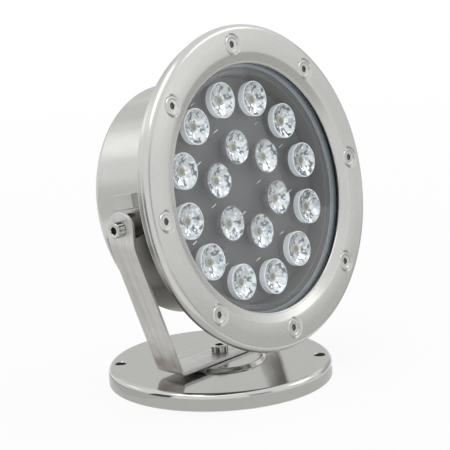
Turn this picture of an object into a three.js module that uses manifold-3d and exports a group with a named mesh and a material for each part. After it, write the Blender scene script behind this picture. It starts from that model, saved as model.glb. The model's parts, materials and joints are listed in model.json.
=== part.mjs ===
import * as THREE from 'three';
import { mergeVertices } from 'three/addons/utils/BufferGeometryUtils.js';
import Module from 'manifold-3d';

// An underwater pond light in stainless steel: a round LED lamp that tilts in a U-shaped bracket,
// which swivels on a round base. Millimetres, +Z up, the beam towards -Y. The origin is the centre
// of the base's underside.

// Clearances
const seatGap = 0.3; // between a piece and the face that it rests on
const fitGap = 0.3; // round a shank in its hole, and round a disc in its recess
const overrun = 2; // how far a cut runs past the face that it opens
const arcTolerance = 0.1; // how far the straight steps of a rounding may lie off its arc

// Base: a pressed disc with a raised round seat in its middle
const baseRadius = 64;
const baseHeight = 9.9;
const baseWall = 2;
const baseEdgeRound = 3;
const seatRadius = 24;
const seatRise = 2;
const seatSlope = 2.4;
const seatRound = 1.6;
const mountHoleRadius = 3.25;
const mountHoleInset = 6.9; // of the fixing holes' centres from the rim
const mountHoleTurn = -49.8; // degrees from +X

// Bracket: one flat strip, bent up at both ends
const stripWidth = 18;
const stripThickness = 2;
const footSpan = 84; // over the two lower bends
const kinkDrop = 9.6; // from the pivot down to where the arms turn upright
const footBend = 5;
const kinkBend = 22;

// Swivel bolt, up through the middle of the base
const swivelShankRadius = 3;
const swivelHeadRadius = 4.8;
const swivelHeadHeight = 4.2;
const swivelSocketRadius = 2.6;
const swivelSocketDepth = 2.4;
const swivelTipHeight = 1.5;
const swivelWasherRadius = 6.2;
const swivelWasherThickness = 1.2;
const swivelNutRadius = 5.7;
const swivelNutHeight = 4.8;
const headRound = 0.6;

// Pivot screws, one through each arm into a boss on the drum
const pivotShankRadius = 2.5;
const pivotHeadRadius = 4.25;
const pivotHeadHeight = 5;
const pivotSocketRadius = 2.3;
const pivotSocketDepth = 2.6;
const pivotBossRadius = 7;
const pivotBossLength = 5.6;
const pivotWasherRadius = 6.2;
const pivotWasherThickness = 1;
const pivotSkin = 1; // steel left between the tapped hole and the inside of the drum

// Lamp head. Its reaches are measured along the beam from the pivot, backward ones as positive numbers.
const restTilt = 10.9; // degrees of the beam above level
const axisRise = 5; // of the lamp's axis over the pivot
const faceReach = 40.3; // the bezel's front face
const rimRadius = 90;
const rimClearance = 1.7; // of the rim over the base's top, if the pivot were at its centre
const bezelThickness = 6.2;
const bezelTurn = 92.3; // degrees from the lamp's +X to the first screw
const bezelOuterRound = 3.6;
const bezelBackRound = 2.2;
const bezelDish = 0.5; // how far the face dips towards the opening
const bezelWidth = 21.5; // from the rim to the lip's edge
const lipRecess = 2; // of the lip's edge behind the face
const lipHeight = 1.3;
const lipRound = 0.7;
const lipLand = 1.2; // flat width of the lip's edge
const bevelWidth = 4.6;
const rimGroove = 0.4; // between bezel and flange
const screwInset = 10.5; // of the screws' centres from the rim
const screwCount = 8;
const screwHeadRadius = 5.5;
const screwHeadDepth = 2.6;
const screwSink = 0.2; // of the head below the face
const screwShankRadius = 2.6;
const screwSocketRadius = 2.2;
const screwSocketDepth = 1.6;
const flangeInset = 2.2; // of the flange's edge from the rim
const flangeRound = 0.9;
const flangeShelf = 1.4; // thickness under the glass's seat
const glassSeatWidth = 7.7; // from the glass's edge to the drum
const drumReach = 27.5; // back of the drum, behind the pivot
const drumWall = 1.5;
const drumCorner = 5.5;

// Glass and its two gaskets
const glassLap = 4.4; // of the glass under the lip
const glassThickness = 3;
const glassChamfer = 0.5;
const gasketThickness = 0.8;
const gasketInset = 0.3; // from the glass's edge, and from the lip's edge at the front
const rearGasketWidth = 5.2;

// LED board, its lenses and what carries it
const lensSetback = 1.6; // of the lenses behind the glass's seat
const boardClearance = 0.6; // round the board
const boardThickness = 1.8;
const outerLedInset = 11.6; // of the LEDs' centres from the board's edge
const outerLedPitch = 26.6; // least distance between the outer ring's LEDs
const innerLedPitch = 24.4;
const ledRingStep = 27; // from the outer ring to the inner
const ledTurn = 98.7; // degrees from the lamp's +X to the first LED of each ring
const ledBaseRadius = 3.4;
const ledBaseHeight = 1.2;
const ledDomeRadius = 2.3;
const ledDomeHeight = 1.6;
const lensRadius = 9.9;
const lensHeight = 8.3;
const lensRim = 1.1;
const lensFootRadius = 5.8;
const lensCollarRadius = 8.9;
const lensCavityRadius = 4.2;
const lensCavityDepth = 3.4;
const lensDimpleRadius = 3.6;
const lensDimpleDepth = 1.6;
const postCount = 3;
const postShift = 1; // of the posts inwards from halfway between the LED rings
const postTurn = 113.7; // degrees from the lamp's +X to the first post
const postRadius = 3;
const postFootRadius = 4.6;
const postHoleDepth = 7;
const boardScrewShankRadius = 1.4;
const boardScrewHeadRadius = 2.6;
const boardScrewHeadHeight = 1.7;

// Driver board and its parts
const driverClearance = 1.9; // over the cable gland's thread
const driverMargin = 7; // from the posts' centres to the board's edge
const driverThickness = 1.6;
const coilRadius = 8;
const coilHeight = 9;
const coilWaistRadius = 6;
const coilFlange = 1.6;
const coilSpot = [17, 15];
const canRadius = 6.2;
const canHeight = 19;
const canRound = 0.8;
const canSpot = [-13, -17];
const terminalWidth = 15;
const terminalDepth = 8;
const terminalHeight = 9;
const terminalRound = 1;
const terminalSpot = [-16, 14];
const leadRadius = 0.9;
const leadSpacing = 6;
const leadSway = 4;

// Cable gland in the middle of the drum's back
const glandThreadRadius = 8;
const glandBoreRadius = 5;
const glandHexRadius = 11.3;
const glandHexHeight = 4;
const glandSleeve = 8;
const glandTail = 6.6; // thread inside the drum
const glandWasherRadius = 10.6;
const glandWasherThickness = 1.5;
const glandNutHexHeight = 6.5;
const glandNutHeight = 14;
const glandNutMouthRadius = 4;
const glandNutShoulderRadius = 8.6;
const glandInsertBoreRadius = 3.1;
const glandInsertLength = 11;
const locknutRadius = 11.3;
const locknutHeight = 3.4;

// Sides of the round pieces
const rimSides = 60;
const discSides = 48;
const boltSides = 20;
const smallSides = 12;
const lensSides = 16;
const ledSides = 8;
const leadSides = 8;
const hexSides = 6;

// Finishes
function finish(color, roughness, metalness) {
  return new THREE.MeshStandardMaterial({ color, roughness, metalness });
}

const polishedSteel = finish('#c9c8c3', 0.28, 1);
const satinSteel = finish('#bdbcb7', 0.38, 1);
const fastenerSteel = finish('#cfcec9', 0.3, 1);
const clearGlass = finish('#dfe8ea', 0.04, 0);
const clearLens = finish('#eef2f6', 0.1, 0);
const blackRubber = finish('#1d1e20', 0.8, 0);
const greySilicone = finish('#a9b4c2', 0.6, 0);
const boardCoat = finish('#6d6f73', 0.5, 0);
const boardGreen = finish('#2f6a45', 0.5, 0);
const darkPlastic = finish('#26292c', 0.5, 0);
const copperWire = finish('#a5602f', 0.4, 0.8);
const canSleeve = finish('#22324e', 0.4, 0);
const redInsulation = finish('#a3241d', 0.5, 0);
const blackInsulation = finish('#151515', 0.5, 0);

// Helpers

const wasm = await Module();
wasm.setup();

const degrees = THREE.MathUtils.degToRad;

// A closed mesh as a solid that can be joined and cut.
function toSolid(geometry) {
  const bare = geometry.clone();
  bare.deleteAttribute('normal');
  bare.deleteAttribute('uv');
  const welded = mergeVertices(bare);
  const corners = welded.index.array;
  const triVerts = [];
  for (let i = 0; i < corners.length; i += 3) {
    const [a, b, c] = corners.slice(i, i + 3);
    if (a !== b && b !== c && c !== a) triVerts.push(a, b, c);
  }
  return new wasm.Manifold(new wasm.Mesh({
    numProp: 3,
    vertProperties: new Float32Array(welded.attributes.position.array),
    triVerts: new Uint32Array(triVerts),
  }));
}

function toGeometry(solid) {
  const mesh = solid.getMesh();
  const geometry = new THREE.BufferGeometry();
  geometry.setAttribute('position', new THREE.BufferAttribute(mesh.vertProperties, mesh.numProp));
  geometry.setIndex(new THREE.BufferAttribute(mesh.triVerts, 1));
  geometry.computeVertexNormals();
  return geometry;
}

// The body less each of the tools, as a geometry.
function cut(body, ...tools) {
  return toGeometry(tools.reduce((left, tool) => left.subtract(toSolid(tool)), toSolid(body)));
}

function join(...bodies) {
  return toGeometry(bodies.map(toSolid).reduce((sum, body) => sum.add(body)));
}

function common(a, b) {
  return toGeometry(toSolid(a).intersect(toSolid(b)));
}

// The points of an outline whose corners are [x, y] or [x, y, radius]: a corner with a radius
// becomes an arc.
function outline(corners) {
  const points = [];
  corners.forEach(([x, y, radius = 0], i) => {
    const corner = new THREE.Vector2(x, y);
    if (radius === 0) {
      points.push(corner);
      return;
    }
    const [beforeX, beforeY] = corners[(i + corners.length - 1) % corners.length];
    const [afterX, afterY] = corners[(i + 1) % corners.length];
    const back = new THREE.Vector2(beforeX, beforeY).sub(corner).normalize();
    const ahead = new THREE.Vector2(afterX, afterY).sub(corner).normalize();
    const halfAngle = Math.acos(THREE.MathUtils.clamp(back.dot(ahead), -1, 1)) / 2;
    const setback = radius / Math.tan(halfAngle);
    const centre = back.clone().add(ahead).setLength(radius / Math.sin(halfAngle)).add(corner);
    const first = back.multiplyScalar(setback).add(corner).sub(centre);
    const last = ahead.multiplyScalar(setback).add(corner).sub(centre);
    const turn = Math.atan2(first.cross(last), first.dot(last));
    const stepTurn = 2 * Math.acos(1 - Math.min(arcTolerance / radius, 1));
    const steps = Math.max(1, Math.round(Math.abs(turn) / stepTurn));
    for (let step = 0; step <= steps; step += 1) {
      const arm = first.clone().rotateAround(new THREE.Vector2(), turn * step / steps);
      points.push(arm.add(centre));
    }
  });
  return points;
}

// A body turned about its own +Z from a profile of [radius, height] corners, anticlockwise.
function turned(profile, sides) {
  return new THREE.LatheGeometry(outline(profile), sides).rotateX(Math.PI / 2);
}

// A ring turned from a profile that closes on itself.
function turnedRing(profile, sides) {
  const points = outline(profile);
  points.push(points[0].clone());
  return new THREE.LatheGeometry(points, sides).rotateX(Math.PI / 2);
}

function rod(radius, from, to, sides) {
  return turned([[0, from], [radius, from], [radius, to], [0, to]], sides);
}

function tube(bore, radius, from, to, sides) {
  return turnedRing([[bore, from], [radius, from], [radius, to], [bore, to]], sides);
}

// A flat shape given a height.
function extruded(shape, height) {
  return new THREE.ExtrudeGeometry(shape, { depth: height, bevelEnabled: false, curveSegments: boltSides });
}

// A prism with the given number of sides between two heights. radius reaches to its corners.
function prism(radius, from, to, sides) {
  const shape = new THREE.Shape();
  for (let side = 0; side < sides; side += 1) {
    const angle = 2 * Math.PI * side / sides;
    shape[side === 0 ? 'moveTo' : 'lineTo'](radius * Math.cos(angle), radius * Math.sin(angle));
  }
  shape.closePath();
  return extruded(shape, to - from).translate(0, 0, from);
}

// A cap screw along +Z: its shank starts at 0 and its head stands on the height `length`.
function capScrew({ shank, length, head, headHeight, socket, socketDepth, round }) {
  const top = length + headHeight;
  const body = turned([
    [0, 0], [shank, 0], [shank, length], [head, length], [head, top, round], [0, top],
  ], boltSides);
  return cut(body, prism(socket, top - socketDepth, top + overrun, hexSides));
}

function place(geometry, x, y, z = 0) {
  return geometry.clone().translate(x, y, z);
}

// The centres of `count` places on a circle, the first at `start` degrees.
function ringOf(count, radius, start) {
  return Array.from({ length: count }, (_, i) => {
    const angle = degrees(start) + 2 * Math.PI * i / count;
    return [radius * Math.cos(angle), radius * Math.sin(angle)];
  });
}

function addPiece(group, name, geometry, material) {
  const mesh = new THREE.Mesh(geometry, material);
  mesh.name = name;
  group.add(mesh);
  return mesh;
}

// Base and swivel

const seatTop = baseHeight + seatRise;
const mountHoleCircle = baseRadius - mountHoleInset;

function basePlate() {
  const inner = baseRadius - baseWall;
  const ceiling = baseHeight - baseWall;
  const seatInner = seatRadius - baseWall / 2;
  const plate = turned([
    [0, seatTop - baseWall],
    [seatInner, seatTop - baseWall, seatRound],
    [seatInner + seatSlope, ceiling, seatRound],
    [inner, ceiling, Math.max(baseEdgeRound - baseWall, 0)],
    [inner, 0],
    [baseRadius, 0],
    [baseRadius, baseHeight, baseEdgeRound],
    [seatRadius + seatSlope, baseHeight, seatRound],
    [seatRadius, seatTop, seatRound],
    [0, seatTop],
  ], rimSides);
  const hole = rod(mountHoleRadius, 0, seatTop + overrun, boltSides);
  const mountHoles = ringOf(2, mountHoleCircle, mountHoleTurn).map(([x, y]) => place(hole, x, y));
  return cut(plate, rod(swivelShankRadius + fitGap, 0, seatTop + overrun, boltSides), ...mountHoles);
}

function addBase(group) {
  addPiece(group, 'base_plate', basePlate(), polishedSteel);

  const washerTop = seatTop - baseWall - seatGap;
  const washerFoot = washerTop - swivelWasherThickness;
  const nutTop = washerFoot - seatGap;
  const bore = swivelShankRadius + fitGap;
  const washer = tube(bore, swivelWasherRadius, washerFoot, washerTop, boltSides);
  addPiece(group, 'swivel_washer', washer, fastenerSteel);
  const nut = cut(
    prism(swivelNutRadius, nutTop - swivelNutHeight, nutTop, hexSides),
    rod(bore, 0, seatTop, boltSides),
  );
  addPiece(group, 'swivel_nut', nut, fastenerSteel);

  const headFoot = seatTop + seatGap + stripThickness + seatGap;
  const bolt = capScrew({
    shank: swivelShankRadius,
    length: headFoot - swivelTipHeight,
    head: swivelHeadRadius,
    headHeight: swivelHeadHeight,
    socket: swivelSocketRadius,
    socketDepth: swivelSocketDepth,
    round: headRound,
  });
  addPiece(group, 'swivel_bolt', bolt, fastenerSteel).position.z = swivelTipHeight;
}

// Places along the head's radius, from the rim inwards

const lipRadius = rimRadius - bezelWidth;
const screwCircle = rimRadius - screwInset;
const glassRadius = lipRadius + glassLap;
const gasketRadius = glassRadius - gasketInset;
const recessRadius = glassRadius + fitGap;
const drumRadius = glassRadius - glassSeatWidth;
const drumInner = drumRadius - drumWall;
const boardRadius = drumInner - boardClearance;
const outerLedCircle = boardRadius - outerLedInset;
const innerLedCircle = outerLedCircle - ledRingStep;
const postCircle = (outerLedCircle + innerLedCircle) / 2 - postShift;
const bossEnd = drumRadius + pivotBossLength;
const armInner = bossEnd + pivotWasherThickness + 2 * seatGap;
const armOuter = armInner + stripThickness;

// Bracket

const pivotHeight = baseHeight + rimRadius + rimClearance;
const kinkHeight = pivotHeight - kinkDrop;

// Half of the strip's line, from the middle of the foot to the top of an arm, moved sideways by
// `inset` towards the inside of the U.
function stripSide(inset) {
  const foot = seatTop + seatGap;
  const top = pivotHeight + stripWidth;
  const lean = Math.atan2(armOuter - footSpan / 2, kinkHeight - foot);
  const footCorner = footSpan / 2 - inset * Math.tan((Math.PI / 2 - lean) / 2);
  const kink = kinkHeight + inset * Math.tan(lean / 2);
  const arm = armOuter - inset;
  return [
    [footCorner, foot + inset, footBend - inset],
    [arm, kink, kinkBend - inset],
    [arm, top],
  ];
}

function bracket() {
  const mirror = (corners) => corners.map(([x, y, radius]) => [-x, y, radius]).reverse();
  const outside = stripSide(0);
  const inside = stripSide(stripThickness);
  const section = outline([
    ...mirror(outside), ...outside, ...inside.slice().reverse(), ...mirror(inside).reverse(),
  ]);
  const strip = extruded(new THREE.Shape(section), stripWidth);
  strip.rotateX(Math.PI / 2).translate(0, stripWidth / 2, 0);

  const half = stripWidth / 2;
  const endOutline = new THREE.Shape();
  endOutline.moveTo(-half, 0);
  endOutline.lineTo(half, 0);
  endOutline.lineTo(half, pivotHeight);
  endOutline.absarc(0, pivotHeight, half, 0, Math.PI);
  endOutline.closePath();
  const ends = extruded(endOutline, 2 * rimRadius);
  ends.rotateX(Math.PI / 2).rotateZ(Math.PI / 2).translate(-rimRadius, 0, 0);

  const pivotHole = rod(pivotShankRadius + fitGap, -rimRadius, rimRadius, boltSides);
  pivotHole.rotateY(Math.PI / 2).translate(0, 0, pivotHeight);
  const footTop = seatTop + seatGap + stripThickness;
  const swivelHole = rod(swivelShankRadius + fitGap, seatTop - overrun, footTop + overrun, boltSides);
  return cut(common(strip, ends), pivotHole, swivelHole);
}

// Lamp head. Its pieces are built along the lamp's own axis: +Z is the beam, +Y is up and the
// pivot's height is 0.

const bezelBack = faceReach - bezelThickness;
const lipEdge = faceReach - lipRecess;
const lipBack = lipEdge - lipHeight;
const glassFront = lipBack - gasketThickness - 2 * seatGap;
const glassBack = glassFront - glassThickness;
const rearGasketBack = glassBack - seatGap - gasketThickness;
const glassSeat = rearGasketBack - seatGap;
const flangeFront = bezelBack - rimGroove;
const flangeBack = glassSeat - flangeShelf;
const lensReach = glassSeat - lensSetback;
const boardReach = lensReach - lensHeight - seatGap;
const boardBack = boardReach - boardThickness;
const drumFloor = drumWall - drumReach;
const driverReach = drumFloor + glandTail + driverClearance;
const driverTop = driverReach + driverThickness;
const screwPlaces = ringOf(screwCount, screwCircle, bezelTurn);
const postPlaces = ringOf(postCount, postCircle, postTurn);

// A countersunk screw's outline, with `play` added all round it for its hole.
function countersunk(play, tip) {
  const top = faceReach - screwSink;
  const shoulder = top - screwHeadDepth - play;
  return turned([
    [0, tip],
    [screwShankRadius + play, tip],
    [screwShankRadius + play, shoulder],
    [screwHeadRadius + play, top - play],
    [screwHeadRadius + play, play === 0 ? top : faceReach + overrun],
    [0, play === 0 ? top : faceReach + overrun],
  ], smallSides);
}

function bezel() {
  const bevelOuter = lipRadius + lipLand + bevelWidth;
  const ring = turnedRing([
    [lipRadius, lipBack],
    [recessRadius, lipBack],
    [recessRadius, bezelBack],
    [rimRadius, bezelBack, bezelBackRound],
    [rimRadius, faceReach, bezelOuterRound],
    [bevelOuter, faceReach - bezelDish, bevelWidth],
    [lipRadius + lipLand, lipEdge],
    [lipRadius, lipEdge, lipRound],
  ], rimSides);
  const hole = countersunk(fitGap, bezelBack - overrun);
  return cut(ring, ...screwPlaces.map(([x, y]) => place(hole, x, y)));
}

function bezelScrew() {
  const top = faceReach - screwSink;
  return cut(
    countersunk(0, flangeBack + seatGap),
    prism(screwSocketRadius, top - screwSocketDepth, top + overrun, hexSides),
  );
}

// The drawn cup that holds everything. Its mouth ends flush with the glass's seat.
function drum() {
  const shell = turned([
    [0, -drumReach],
    [drumRadius, -drumReach, drumCorner],
    [drumRadius, glassSeat],
    [0, glassSeat],
  ], rimSides);
  const cavity = turned([
    [0, drumFloor],
    [drumInner, drumFloor, Math.max(drumCorner - drumWall, 0)],
    [drumInner, glassSeat + overrun],
    [0, glassSeat + overrun],
  ], rimSides);
  const across = (radius, from, to) => {
    const bar = rod(radius, from, to, boltSides);
    return bar.rotateY(Math.PI / 2).translate(0, -axisRise, 0);
  };
  const bosses = across(pivotBossRadius, -bossEnd, bossEnd);
  const tapped = pivotShankRadius + fitGap;
  const holeStart = drumRadius + pivotSkin;
  const holeEnd = bossEnd + overrun;
  const pivotHoles = [across(tapped, holeStart, holeEnd), across(tapped, -holeEnd, -holeStart)];
  const glandHole = rod(glandThreadRadius + fitGap, -drumReach - overrun, drumFloor + overrun, boltSides);
  return cut(join(shell, bosses), cavity, ...pivotHoles, glandHole);
}

// The ring welded round the drum's mouth, with the glass's seat and the tapped holes.
function flange() {
  const bore = drumRadius + fitGap;
  const edge = rimRadius - flangeInset;
  const ring = turnedRing([
    [bore, flangeBack],
    [edge, flangeBack, flangeRound],
    [edge, flangeFront, flangeRound],
    [recessRadius, flangeFront],
    [recessRadius, glassSeat],
    [bore, glassSeat],
  ], rimSides);
  const hole = rod(screwShankRadius + fitGap, flangeBack - overrun, flangeFront + overrun, smallSides);
  return cut(ring, ...screwPlaces.map(([x, y]) => place(hole, x, y)));
}

function glass() {
  return turned([
    [0, glassBack],
    [glassRadius - glassChamfer, glassBack],
    [glassRadius, glassBack + glassChamfer],
    [glassRadius, glassFront - glassChamfer],
    [glassRadius - glassChamfer, glassFront],
    [0, glassFront],
  ], discSides);
}

function addFront(lamp) {
  addPiece(lamp, 'drum', drum(), satinSteel);
  addPiece(lamp, 'flange', flange(), satinSteel);
  addPiece(lamp, 'bezel', bezel(), polishedSteel);
  addPiece(lamp, 'glass', glass(), clearGlass);
  const gasket = (bore, back) => tube(bore, gasketRadius, back, back + gasketThickness, discSides);
  addPiece(lamp, 'front_gasket', gasket(lipRadius + gasketInset, glassFront + seatGap), blackRubber);
  addPiece(lamp, 'rear_gasket', gasket(gasketRadius - rearGasketWidth, rearGasketBack), greySilicone);
  const screw = bezelScrew();
  screwPlaces.forEach(([x, y], i) => {
    addPiece(lamp, `bezel_screw_${i + 1}`, place(screw, x, y), fastenerSteel);
  });
}

// A collimating lens seen as a clear cup: `foot` is its radius at the board. Its front has a
// round dimple, and a hollow at its back covers the LED.
function lens(foot) {
  const base = boardReach + seatGap;
  return turned([
    [0, base + lensCavityDepth],
    [lensCavityRadius, base + lensCavityDepth],
    [lensCavityRadius, base],
    [foot, base],
    [lensRadius, lensReach - lensRim],
    [lensRadius, lensReach],
    [lensDimpleRadius, lensReach],
    [0, lensReach - lensDimpleDepth],
  ], lensSides);
}

// As many LEDs as a circle holds, or one in the middle where it holds no two.
function ledRing(circle, pitch) {
  if (circle < pitch / 2) return [[0, 0]];
  const count = Math.floor(Math.PI / Math.asin(pitch / 2 / circle));
  return ringOf(count, circle, ledTurn);
}

const outerLeds = ledRing(outerLedCircle, outerLedPitch);
const innerLeds = ledRing(innerLedCircle, innerLedPitch);

function ledBoard() {
  const led = turned([
    [0, boardBack],
    [ledBaseRadius, boardBack],
    [ledBaseRadius, boardReach + ledBaseHeight],
    [ledDomeRadius, boardReach + ledBaseHeight],
    [ledDomeRadius / 2, boardReach + ledBaseHeight + ledDomeHeight],
    [0, boardReach + ledBaseHeight + ledDomeHeight],
  ], ledSides);
  const plate = rod(boardRadius, boardBack, boardReach, discSides);
  const leds = [...outerLeds, ...innerLeds].map(([x, y]) => place(led, x, y));
  const hole = rod(boardScrewShankRadius + fitGap, boardBack - overrun, boardReach + overrun, smallSides);
  return cut(join(plate, ...leds), ...postPlaces.map(([x, y]) => place(hole, x, y)));
}

function boardPost() {
  const foot = drumFloor + seatGap;
  const step = driverReach - seatGap;
  const top = boardBack - seatGap;
  const post = turned([
    [0, foot],
    [postFootRadius, foot],
    [postFootRadius, step],
    [postRadius, step],
    [postRadius, top],
    [0, top],
  ], smallSides);
  return cut(post, rod(boardScrewShankRadius + fitGap, top - postHoleDepth, top + overrun, smallSides));
}

function boardScrew() {
  const foot = boardReach + seatGap;
  const tip = boardBack - postHoleDepth + seatGap;
  return turned([
    [0, tip],
    [boardScrewShankRadius, tip],
    [boardScrewShankRadius, foot],
    [boardScrewHeadRadius, foot],
    [boardScrewHeadRadius, foot + boardScrewHeadHeight / 2],
    [boardScrewHeadRadius / 2, foot + boardScrewHeadHeight],
    [0, foot + boardScrewHeadHeight],
  ], smallSides);
}

function addLight(lamp) {
  addPiece(lamp, 'led_board', ledBoard(), boardCoat);
  const collared = lens(lensCollarRadius);
  const slender = lens(lensFootRadius);
  outerLeds.forEach(([x, y], i) => addPiece(lamp, `outer_lens_${i + 1}`, place(collared, x, y), clearLens));
  innerLeds.forEach(([x, y], i) => addPiece(lamp, `inner_lens_${i + 1}`, place(slender, x, y), clearLens));
  const post = boardPost();
  const screw = boardScrew();
  postPlaces.forEach(([x, y], i) => {
    addPiece(lamp, `board_post_${i + 1}`, place(post, x, y), fastenerSteel);
    addPiece(lamp, `board_screw_${i + 1}`, place(screw, x, y), fastenerSteel);
  });
}

// One of the two leads from the terminal block up to the LED board.
function lead(x, y, sway) {
  const from = driverTop + 2 * seatGap + terminalHeight;
  const to = boardBack - seatGap;
  const rise = to - from;
  const route = new THREE.CatmullRomCurve3([
    new THREE.Vector3(x, y, from),
    new THREE.Vector3(x, y, from + rise / 6),
    new THREE.Vector3(x + sway, y + sway, from + rise / 2),
    new THREE.Vector3(x, y, to - rise / 6),
    new THREE.Vector3(x, y, to),
  ]);
  const section = new THREE.Shape();
  section.absarc(0, 0, leadRadius, 0, 2 * Math.PI);
  return new THREE.ExtrudeGeometry(section, {
    extrudePath: route,
    steps: 10,
    curveSegments: leadSides / 2,
    bevelEnabled: false,
  });
}

function addDriver(lamp) {
  const foot = driverTop + seatGap;
  const postHole = rod(postRadius + fitGap, driverReach - overrun, driverTop + overrun, smallSides);
  const board = cut(
    rod(postCircle + driverMargin, driverReach, driverTop, discSides),
    ...postPlaces.map(([x, y]) => place(postHole, x, y)),
  );
  addPiece(lamp, 'driver_board', board, boardGreen);

  const coilTop = foot + coilHeight;
  const coil = turned([
    [0, foot],
    [coilRadius, foot],
    [coilRadius, foot + coilFlange],
    [coilWaistRadius, foot + coilFlange],
    [coilWaistRadius, coilTop - coilFlange],
    [coilRadius, coilTop - coilFlange],
    [coilRadius, coilTop],
    [0, coilTop],
  ], boltSides);
  addPiece(lamp, 'driver_inductor', place(coil, ...coilSpot), copperWire);

  const can = turned([
    [0, foot], [canRadius, foot], [canRadius, foot + canHeight, canRound], [0, foot + canHeight],
  ], boltSides);
  addPiece(lamp, 'driver_capacitor', place(can, ...canSpot), canSleeve);

  const halfWidth = terminalWidth / 2;
  const halfDepth = terminalDepth / 2;
  const blockOutline = outline([
    [-halfWidth, -halfDepth, terminalRound],
    [halfWidth, -halfDepth, terminalRound],
    [halfWidth, halfDepth, terminalRound],
    [-halfWidth, halfDepth, terminalRound],
  ]);
  const block = extruded(new THREE.Shape(blockOutline), terminalHeight);
  addPiece(lamp, 'terminal_block', place(block, ...terminalSpot, foot), darkPlastic);

  const [terminalX, terminalY] = terminalSpot;
  addPiece(lamp, 'lead_positive', lead(terminalX - leadSpacing / 2, terminalY, leadSway), redInsulation);
  addPiece(lamp, 'lead_negative', lead(terminalX + leadSpacing / 2, terminalY, -leadSway), blackInsulation);
}

// The gland is built with +Z pointing out of the drum's back, from the back's outside face.
function addGland(lamp) {
  const gland = new THREE.Group();
  gland.position.z = -drumReach;
  gland.rotation.x = Math.PI;
  lamp.add(gland);

  const washerTop = seatGap + glandWasherThickness;
  const hexFoot = washerTop + seatGap;
  const hexTop = hexFoot + glandHexHeight;
  const sleeveTop = hexTop + glandSleeve;
  const tail = -drumWall - glandTail;
  const washer = tube(glandThreadRadius + fitGap, glandWasherRadius, seatGap, washerTop, boltSides);
  addPiece(gland, 'gland_washer', washer, blackRubber);

  const sleeve = rod(glandThreadRadius, tail, sleeveTop, boltSides);
  const hexagon = prism(glandHexRadius, hexFoot, hexTop, hexSides);
  const bore = rod(glandBoreRadius, tail - overrun, sleeveTop + overrun, boltSides);
  addPiece(gland, 'gland_body', cut(join(sleeve, hexagon), bore), fastenerSteel);

  const nutFoot = hexTop + seatGap;
  const nutTop = nutFoot + glandNutHeight;
  const nutHexTop = nutFoot + glandNutHexHeight;
  const crown = turned([
    [0, nutFoot],
    [glandNutShoulderRadius, nutFoot],
    [glandNutShoulderRadius + fitGap, nutHexTop],
    [glandNutShoulderRadius, nutTop, glandNutShoulderRadius - glandNutMouthRadius - fitGap],
    [0, nutTop],
  ], boltSides);
  const nutHollow = turned([
    [0, nutFoot - overrun],
    [glandThreadRadius + fitGap, nutFoot - overrun],
    [glandThreadRadius + fitGap, sleeveTop + seatGap],
    [glandNutMouthRadius, sleeveTop + seatGap + fitGap],
    [glandNutMouthRadius, nutTop + overrun],
    [0, nutTop + overrun],
  ], boltSides);
  const nut = cut(join(crown, prism(glandHexRadius, nutFoot, nutHexTop, hexSides)), nutHollow);
  addPiece(gland, 'gland_nut', nut, fastenerSteel);

  const insertRadius = glandBoreRadius - fitGap;
  const insertFoot = sleeveTop - glandInsertLength;
  const insert = tube(glandInsertBoreRadius, insertRadius, insertFoot, sleeveTop, boltSides);
  addPiece(gland, 'gland_insert', insert, blackRubber);

  const locknutTop = -drumWall - seatGap;
  const locknut = cut(
    prism(locknutRadius, locknutTop - locknutHeight, locknutTop, hexSides),
    rod(glandThreadRadius + fitGap, tail, overrun, boltSides),
  );
  addPiece(gland, 'gland_locknut', locknut, fastenerSteel);
}

// The pivot screws and washers lie along the pivot, on the head's own centre.
function addPivot(head) {
  [['left', -1], ['right', 1]].forEach(([side, sign]) => {
    const end = new THREE.Group();
    end.rotation.y = sign * Math.PI / 2;
    head.add(end);
    const bore = pivotShankRadius + fitGap;
    const washerFoot = bossEnd + seatGap;
    const washer = tube(bore, pivotWasherRadius, washerFoot, washerFoot + pivotWasherThickness, boltSides);
    addPiece(end, `pivot_washer_${side}`, washer, fastenerSteel);
    const tip = drumRadius + pivotSkin + seatGap;
    const screw = capScrew({
      shank: pivotShankRadius,
      length: armOuter + seatGap - tip,
      head: pivotHeadRadius,
      headHeight: pivotHeadHeight,
      socket: pivotSocketRadius,
      socketDepth: pivotSocketDepth,
      round: headRound,
    });
    addPiece(end, `pivot_screw_${side}`, screw.translate(0, 0, tip), fastenerSteel);
  });
}

// The whole light

const pondLight = new THREE.Group();
addBase(pondLight);
addPiece(pondLight, 'bracket', bracket(), satinSteel);

const head = new THREE.Group();
head.position.z = pivotHeight;
head.rotation.x = degrees(90 - restTilt);
pondLight.add(head);
addPivot(head);

const lamp = new THREE.Group();
lamp.position.y = axisRise;
head.add(lamp);
addFront(lamp);
addLight(lamp);
addDriver(lamp);
addGland(lamp);

export default pondLight;
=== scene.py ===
# %% [markdown]
# # An underwater pond light in stainless steel
# A round lamp with eighteen LED lenses tilts in a U-shaped bracket, and the bracket swivels on a round
# base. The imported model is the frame: it says where each piece is and what moves. This script dresses
# it in fine surfaces, the way that a workshop would finish the rough parts.

import json
import math

import bmesh
import bpy
from mathutils import Matrix, Vector, noise


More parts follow.
